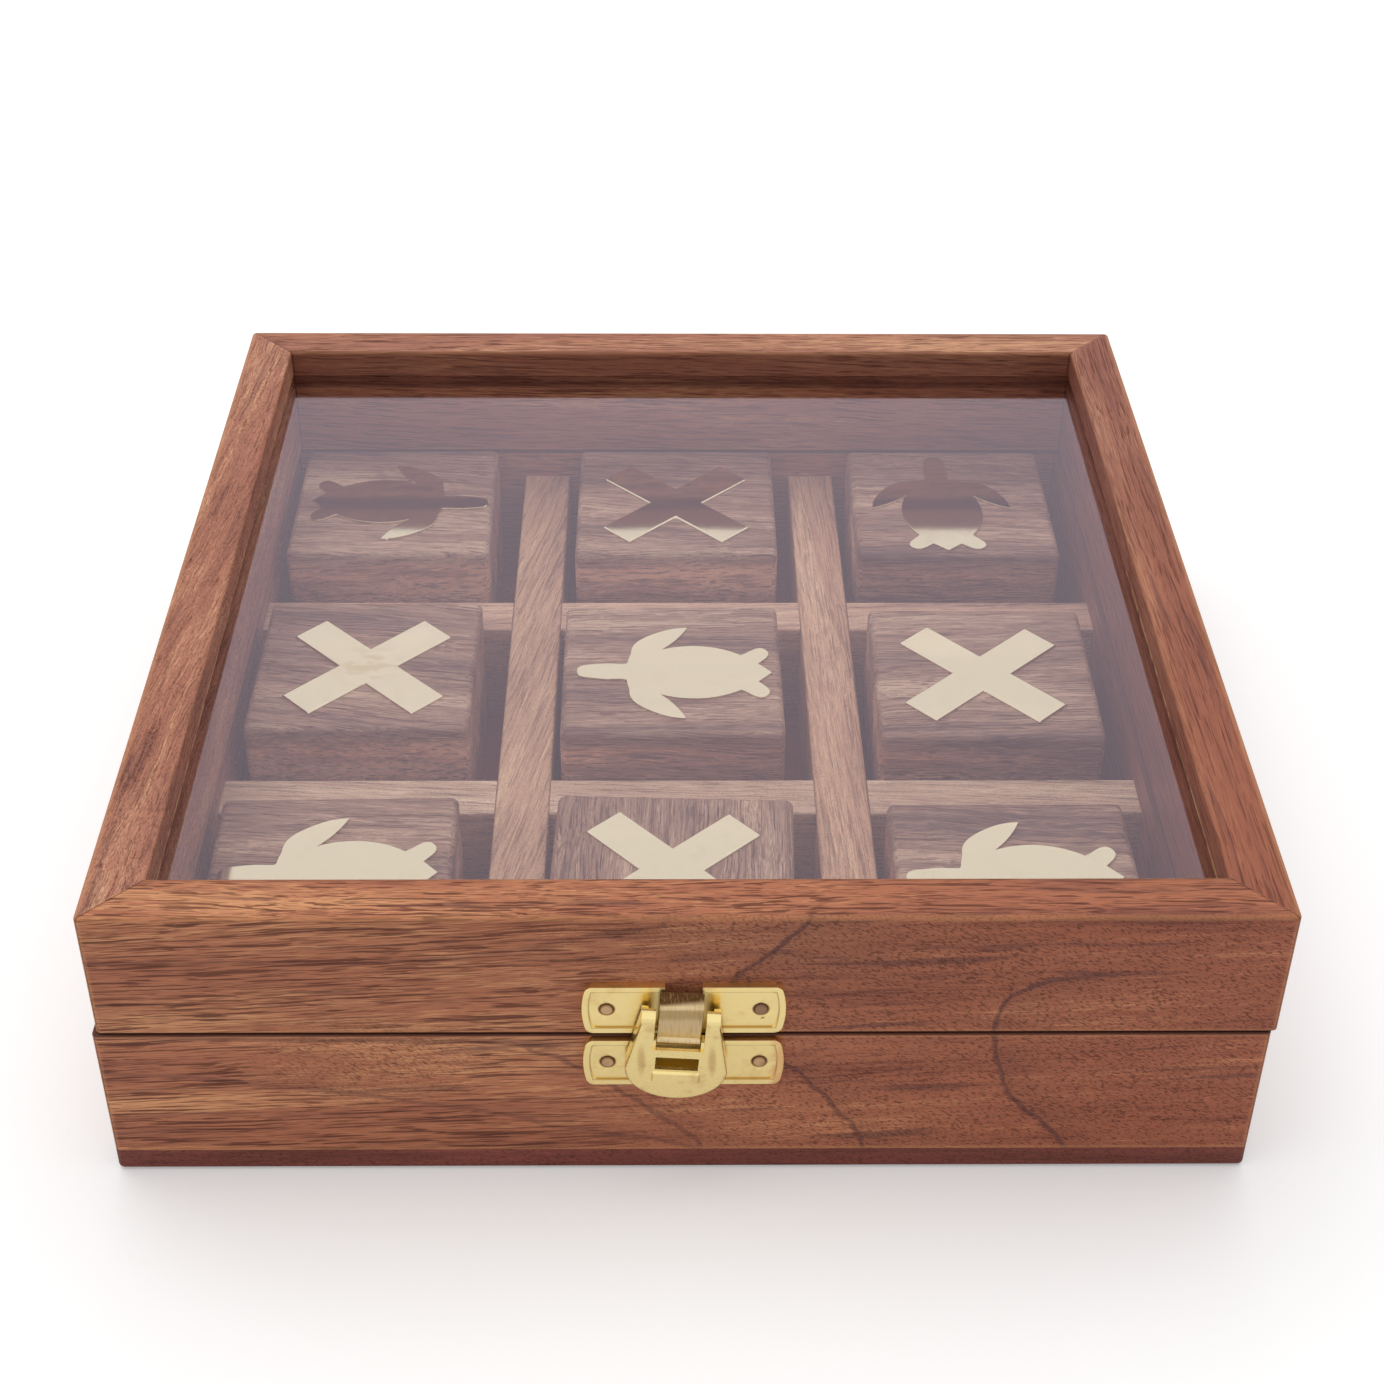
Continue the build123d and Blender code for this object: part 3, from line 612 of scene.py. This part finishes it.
class BOX_OT_case(BoxOperator):
    """Grain on the walls of the base and the rails of the lid."""

    bl_idname = "gamebox.case"
    bl_label = "Case walls and lid rails"

    def make(self, scene):
        wood = scene.box_wood
        tones = Vector(wood.case_light), Vector(wood.case_middle), Vector(wood.case_dark)
        looks = {
            "front": dict(turn=(0, 3, 0), shift=(3, 0, 11), figure=rings, smudge=0.55,
                          short=self.right_share,
                          wash=along(-0.01, 0.085, tint=(0.82, 0.70, 0.73),
                                     top=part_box("lid_front_rail")[1].z)),
            "back": dict(turn=(0, -2, 0), shift=(71, 40, 5), lines=0.8, smudge=0.3),
            "left": dict(turn=(0, 0, -84), shift=(20, 120, 33), bend=9.0, short=0.6, slant=-8, smudge=0.4,
                         contrast=1.2, wash=along(-0.03, -0.09, tint=(1.12, 1.20, 1.22), axis=1)),
            "right": dict(turn=(0, 0, -91), shift=(-60, 210, 17), lines=0.6, contrast=0.8, smudge=0.4,
                          wash=along(-0.09, 0.08, tint=(0.88, 0.95, 1.15), axis=1)),
        }
        tints = {"front": (1.02, 1.04, 1.14), "back": (0.95, 1.08, 1.38), "left": (0.96, 1.08, 1.45),
                 "right": (0.78, 0.72, 0.84)}
        golden_and_shaded = {"front": (0.0, 0.5), "back": (0.25, 0.55), "left": (0.6, 0.10),
                             "right": (0.7, 0.15)}
        levels = {"base_front_wall": 1.07}
        # The base's front is a little paler than the lid's, and only the lid has gold and shade inside.
        for part in ("base_{}_wall", "lid_{}_rail"):
            for side, look in looks.items():
                name = part.format(side)
                lid = part.startswith("lid")
                gold, dark = golden_and_shaded[side] if lid else (0.0, 0.0)
                level = levels.get(name, 1.0)
                shades = [[a * b * level for a, b in zip(tone, tints[side])] for tone in tones]
                trim = rubbed(side, part.format("front"), name, lid, gold, dark)
                dress([name], grained("wood_" + name, shades, trim=trim, **look))

    def right_share(self, paint, here):
        """Share of short pores on the front: most of its right part, and a patch low on the left."""
        x, y = paint.split(paint.scaled(here, 1000, 1000, 1000))[:2]
        sway = paint.noise(paint.scaled(here, 55, 55, 55), 1, 2)
        patch_x, patch_z, squeeze = -48, 24, 0.5
        patch = paint.distance(paint.scaled(here, 1000 * squeeze, 0, 1000), (patch_x * squeeze, 0, patch_z))
        face = 1 - (y / 1000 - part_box("lid_front_rail")[0].y).rise(0.0004, 0.0012)
        return ((x + (sway - 0.5) * 30).rise(-28, 12) + (1 - patch.rise(4, 12)) * 0.8) * face


class BOX_OT_board(BoxOperator):
    """Dark stained board under the walls."""

    bl_idname = "gamebox.board"
    bl_label = "Bottom board"

    def make(self, scene):
        stain = Vector(scene.box_wood.board)
        dress(["bottom_board"], grained("wood_board", (stain * 1.6, stain, stain * 0.6), turn=(0, 1, 0),
                                        shift=(15, 9, 60), short=0.8, smudge=0.2, gloss=0.55))


class BOX_OT_dividers(BoxOperator):
    """Grain on the four dividers."""

    bl_idname = "gamebox.dividers"
    bl_label = "Dividers"

    def make(self, scene):
        wood = scene.box_wood
        tones = wood.divider_light, wood.divider_middle, wood.divider_dark
        palest = 0.9
        looks = (("long_divider_left", -78, (9, 44, 3), (1.17, 1.20, 1.10)),
                 ("long_divider_right", -92, (80, 9, 31), (1.14, 1.12, 1.02)),
                 ("cross_divider_front", 3, (33, 5, 12), (1.24, 1.40, 1.42)),
                 ("cross_divider_back", -2, (5, 61, 45), (1.22, 1.28, 1.28)))
        for name, turn, shift, tint in looks:
            shades = [[min(a * b, palest) for a, b in zip(tone, tint)] for tone in tones]
            dress([name], grained("wood_" + name, shades, turn=(0, 0, turn), shift=shift, lines=0.75,
                                  smudge=0.3, short=0.4, slant=-35))


class BOX_OT_blocks(BoxOperator):
    """Grain on the nine playing blocks."""

    bl_idname = "gamebox.blocks"
    bl_label = "Playing blocks"

    def make(self, scene):
        wood = scene.box_wood
        tones = wood.block_light, wood.block_middle, wood.block_dark
        turns = {"block_front_left": 4, "block_front_middle": -87, "block_middle_left": 8,
                 "block_back_left": 5}
        blocks = sorted(name for name in nodes if name.startswith("block_"))
        for number, name in enumerate(blocks):
            turn = turns.get(name, (number * 7) % 9 - 4)
            shift = (37 * number, 61 * number, 23 * number)
            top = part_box(name)[1].z
            # Painted light: the sides below each block's top are made paler.
            painted_side_light = along(top - 0.0012, top - 0.0050, tint=(1.80, 1.66, 1.60), axis=2, wander=0.001)
            dress([name], grained("wood_" + name, tones, turn=(0, 0, turn), shift=shift, bend=8.0,
                                  contrast=1.35, short=0.3, slant=3, gloss=0.36, wash=painted_side_light))


class BOX_OT_figures(BoxOperator):
    """Polished brass figures with rounded edges."""

    bl_idname = "gamebox.figures"
    bl_label = "Brass figures"

    def make(self, scene):
        look = scene.box_brass
        stained = "inlay_cross_middle_left"
        middle = sum(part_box(stained), Vector()) / 2

        def stain(paint, here):
            far = paint.distance(paint.scaled(here, 1, 1, 0), (middle.x, middle.y, 0))
            cloud = paint.noise(paint.scaled(here, 210, 420, 210), 1, 4, 0.65)
            return (1 - far.rise(0.0015, 0.0085)) * cloud.rise(0.44, 0.60) * 0.42

        def metal(name, marks=()):
            return brass(name, tuple(look.figure), stain=(0.55, 0.38, 0.20), rough=0.08, wave=0.2,
                         stains=0.12, marks=marks)

        clean = metal("figure_brass")
        touched = metal("stained_figure_brass", ((stain, (0.60, 0.44, 0.20)),))
        for name in sorted(nodes):
            if name.startswith("inlay_"):
                soft_copy(name, look.figure_edge, touched if name == stained else clean)


class BOX_OT_glass(BoxOperator):
    """Clear pane that reflects like both of its faces."""

    bl_idname = "gamebox.glass"
    bl_label = "Glass pane"

    def make(self, scene):
        look = scene.box_glass
        paint = Paint("clear_glass")
        here = paint.place()
        behind = paint.node("NewGeometry", out="Backfacing")
        shadow = paint.node("LightPath", out="Is Shadow Ray")
        one = paint.node("Fresnel", None, IOR=look.index)
        both = one * 2 / (one + 1)
        smear = paint.noise(paint.scaled(here, 26, 9, 26), 1, 3)
        rough = 0.07 + smear.rise(0.45, 0.8) * 0.05
        clear = paint.node("BsdfTransparent", None, tuple(look.clear))
        shine = paint.node("BsdfAnisotropic", None, Color=tuple(look.reflection), Roughness=rough)
        mixed = paint.node("MixShader", None, both * (1 - behind) * (1 - shadow), clear, shine)
        dress(["lid_glass"], paint.finish(mixed))


class BOX_OT_clasp(BoxOperator):
    """Plated clasp: plates, nails, flap, link and pins."""

    bl_idname = "gamebox.clasp"
    bl_label = "Clasp"

    def make(self, scene):
        look = scene.box_brass
        nails = "clasp_lid_nails", "clasp_base_nails"
        centres = [(low + high) / 2 for name in nails for low, high in solids(name)]
        lid_right_nail = centres[1]
        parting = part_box("base_front_wall")[1].z
        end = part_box("clasp_base_plate")[1].x
        flap_middle = sum(corner.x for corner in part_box("clasp_flap")) / 2
        link_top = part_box("clasp_link")[1].z
        shade_brown, rusty, sooty = (0.30, 0.14, 0.05), (0.72, 0.30, 0.13), (0.10, 0.07, 0.03)
        reflection_amber, olive_brown, strap_top_shade = (0.42, 0.22, 0.07), (0.40, 0.27, 0.09), (0.10, 0.045, 0.016)
        deep_shade_brown, grey_brown = (0.14, 0.065, 0.03), (0.16, 0.09, 0.06)

        def tarnish(paint, here):
            x, z = paint.split(here)[::2]
            cloud = paint.noise(paint.scaled(here, 520, 520, 520), 1, 3)
            low = 1 - z.rise(parting, parting + 0.0005)
            return (x + (cloud - 0.5) * 0.004).rise(end - 0.0026, end - 0.0008) * low * 0.5

        def scuffs(paint, here):
            below, half_x, half_z = 0.0019, 0.0015, 0.00035
            far = oval(paint, here, lid_right_nail.x, lid_right_nail.z - below, half_x, half_z)
            speck = paint.noise(paint.scaled(here, 1400, 1400, 2600), 1, 2, 0.6)
            return (1 - far.rise(0.6, 1.0)) * speck.rise(0.50, 0.58) * 0.8

        # Painted shade round the edge of each domed nail head.
        def worn_rim(paint, here):
            return (1 - round_marks(centres, 0.00072, 0.00095)(paint, here)) * 0.75

        def dull(paint, here):
            return round_marks([lid_right_nail], 0.0011, 0.0013)(paint, here) * 0.6

        # Painted reflection: two amber streaks down the sides of the flap.
        def reflected(paint, here):
            half_x, half_z = 0.0009, 0.0042
            left, right = (1 - oval(paint, here, flap_middle + across, up, half_x, half_z).rise(0.25, 1.0)
                           for across, up in ((-0.0052, 0.0284), (0.0054, 0.0282)))
            return left.math("MAXIMUM", right) * 0.45

        def olive(paint, here):
            z = paint.split(here)[2]
            bend = z.rise(link_top - 0.0019, link_top - 0.0016)
            return z.rise(link_top - 0.0046, link_top - 0.0032) * (1 - bend) * 0.6

        # Painted shade along the inner corner of each plate's rim.
        def rim(part):
            return lambda paint, here: rim_line(paint, here, f"clasp_{part}_nails", f"clasp_{part}_plate")

        # On the plates, the brown rings round the nail heads and the lines in the rims' inner corners are
        # painted shade.
        plated = brass("clasp_brass", tuple(look.clasp), stain=(0.66, 0.38, 0.13), rough=0.32, wave=1.3,
                       stains=0.35,
                       marks=((round_marks(centres, 0.00112, 0.00145), shade_brown), (rim("lid"), shade_brown),
                              (rim("base"), shade_brown), (tarnish, rusty), (scuffs, sooty)))
        swung = brass("flap_brass", tuple(Vector(look.clasp) * 0.95), stain=(0.50, 0.27, 0.10), rough=0.27,
                      wave=1.6, stains=0.45, marks=((reflected, reflection_amber),))
        # The dusky tone over the strap's upper face is painted shade.
        strap = brass("strap_brass", tuple(look.strap), stain=(0.42, 0.27, 0.11), rough=0.30,
                      brushed=(5200, 900, 260), stains=0.4,
                      fade=(strap_top_shade, link_top - 0.0013, link_top - 0.0008), marks=((olive, olive_brown),))
        coppery = brass("nail_brass", tuple(look.nail), stain=(0.30, 0.17, 0.09), rough=0.38, stains=0.6,
                        marks=((worn_rim, deep_shade_brown), (dull, grey_brown)))
        for name in ("clasp_lid_plate", "clasp_base_plate"):
            soft_copy(name, look.clasp_edge, plated, flat=False)
        soft_copy("clasp_flap", look.clasp_edge * 0.6, swung)
        soft_copy("clasp_link", look.clasp_edge, strap, flat=False)
        for seed, name in enumerate(nails):
            driven(name, edge=0.00006, turn=0.0, seed=seed, material=coppery)
        dress(["clasp_pivot_pins", "clasp_link_pin"], coppery)


class BOX_OT_hinges(BoxOperator):
    """Butt hinges and their screws."""

    bl_idname = "gamebox.hinges"
    bl_label = "Hinges"

    def make(self, scene):
        look = scene.box_brass
        metal = brass("hinge_brass", tuple(look.hinge), stain=(0.45, 0.27, 0.12), rough=0.33, stains=0.45)
        worn = brass("screw_brass", tuple(Vector(look.hinge) * 0.92), stain=(0.35, 0.22, 0.10), rough=0.36,
                     stains=0.5)
        for name in sorted(nodes):
            if name.startswith("hinge_") and name.endswith("_screws"):
                driven(name, edge=0.00005, turn=radians(360), seed=3, material=worn)
            elif name.startswith("hinge_"):
                dress([name], metal)


class BOX_OT_stage(BoxOperator):
    """Floor, studio light and camera."""

    bl_idname = "gamebox.stage"
    bl_label = "Stage"

    def make(self, scene):
        look = scene.box_stage
        scene.view_settings.view_transform = "Standard"
        self.floor(scene, look)
        self.sky(scene, look)
        self.lamp(scene, place=(-0.12, 0.30, 1.1), size=1.2, power=look.key_power)
        self.camera(scene, look)

    def floor(self, scene, look):
        half, level = 4.0, -0.0002
        corners = [(x * half, y * half, level) for x, y in ((-1, -1), (1, -1), (1, 1), (-1, 1))]
        mesh = bpy.data.meshes.new("floor")
        mesh.from_pydata(corners, [], [(0, 1, 2, 3)])
        floor = bpy.data.objects.new("floor", mesh)
        scene.collection.objects.link(floor)
        paint = Paint("floor")
        seen = paint.node("LightPath", out="Is Camera Ray")
        glow = paint.node("Emission", None, (1, 1, 1), seen * 0.22)
        matt = paint.node("BsdfDiffuse", None, tuple(look.floor))
        mesh.materials.append(paint.finish(paint.node("AddShader", None, matt, glow)))

    def sky(self, scene, look):
        scene.world = scene.world or bpy.data.worlds.new("studio")
        paint = Paint(scene.world)
        rays = {value.socket.name: value for value in paint.node("LightPath").outputs()}
        seen = rays["Is Camera Ray"] + rays["Is Glossy Ray"] + rays["Is Transmission Ray"]
        strength = seen.math("MINIMUM", 1.0) * (1 - look.sky) + look.sky
        paint.finish(paint.node("Background", None, (1, 1, 1), strength))

    def lamp(self, scene, place, size, power):
        light = bpy.data.lights.new("key", "AREA")
        light.size, light.energy = size, power
        lamp = bpy.data.objects.new("key", light)
        lamp.location = place
        lamp.rotation_euler = (Vector((0, 0, 0.02)) - lamp.location).to_track_quat("-Z", "Y").to_euler()
        lamp.visible_glossy = False
        scene.collection.objects.link(lamp)

    def camera(self, scene, look):
        view = bpy.data.cameras.new("camera")
        view.lens, view.sensor_width, view.sensor_fit = look.lens, 36, "HORIZONTAL"
        view.clip_start, view.clip_end = 0.01, 50
        camera = bpy.data.objects.new("camera", view)
        ahead = Vector((sin(look.yaw) * cos(look.pitch), cos(look.yaw) * cos(look.pitch), -sin(look.pitch)))
        right = Vector((cos(look.yaw), -sin(look.yaw), 0))
        above = right.cross(ahead)
        side = right * cos(look.roll) + above * sin(look.roll)
        up = above * cos(look.roll) - right * sin(look.roll)
        turn = Matrix((side, up, -ahead)).transposed()
        camera.matrix_world = Matrix.Translation(look.eye) @ turn.to_4x4()
        scene.collection.objects.link(camera)
        scene.camera = camera


class BOX_PT_panel(bpy.types.Panel):
    """Lists the steps that dress the box."""

    bl_idname = "BOX_PT_panel"
    bl_label = "Game box"
    bl_space_type = "VIEW_3D"
    bl_region_type = "UI"
    bl_category = "Game box"

    def draw(self, context):
        for settings in (context.scene.box_wood, context.scene.box_brass, context.scene.box_glass,
                         context.scene.box_stage):
            group = self.layout.box()
            for key in settings.__annotations__:
                group.prop(settings, key)
        for step in STEPS:
            self.layout.operator(step.bl_idname)


SETTINGS = (("box_wood", WoodSettings), ("box_brass", BrassSettings), ("box_glass", GlassSettings),
            ("box_stage", StageSettings))
STEPS = (BOX_OT_case, BOX_OT_board, BOX_OT_dividers, BOX_OT_blocks, BOX_OT_figures, BOX_OT_glass,
         BOX_OT_clasp, BOX_OT_hinges, BOX_OT_stage)


def register():
    for name, group in SETTINGS:
        bpy.utils.register_class(group)
        setattr(bpy.types.Scene, name, PointerProperty(type=group))
    for step in STEPS:
        bpy.utils.register_class(step)
    bpy.utils.register_class(BOX_PT_panel)


def unregister():
    bpy.utils.unregister_class(BOX_PT_panel)
    for step in reversed(STEPS):
        bpy.utils.unregister_class(step)
    for name, group in reversed(SETTINGS):
        delattr(bpy.types.Scene, name)
        bpy.utils.unregister_class(group)


def main():
    register()
    for step in STEPS:
        group, name = step.bl_idname.split(".")
        getattr(getattr(bpy.ops, group), name)()


if __name__ == "__main__":
    main()
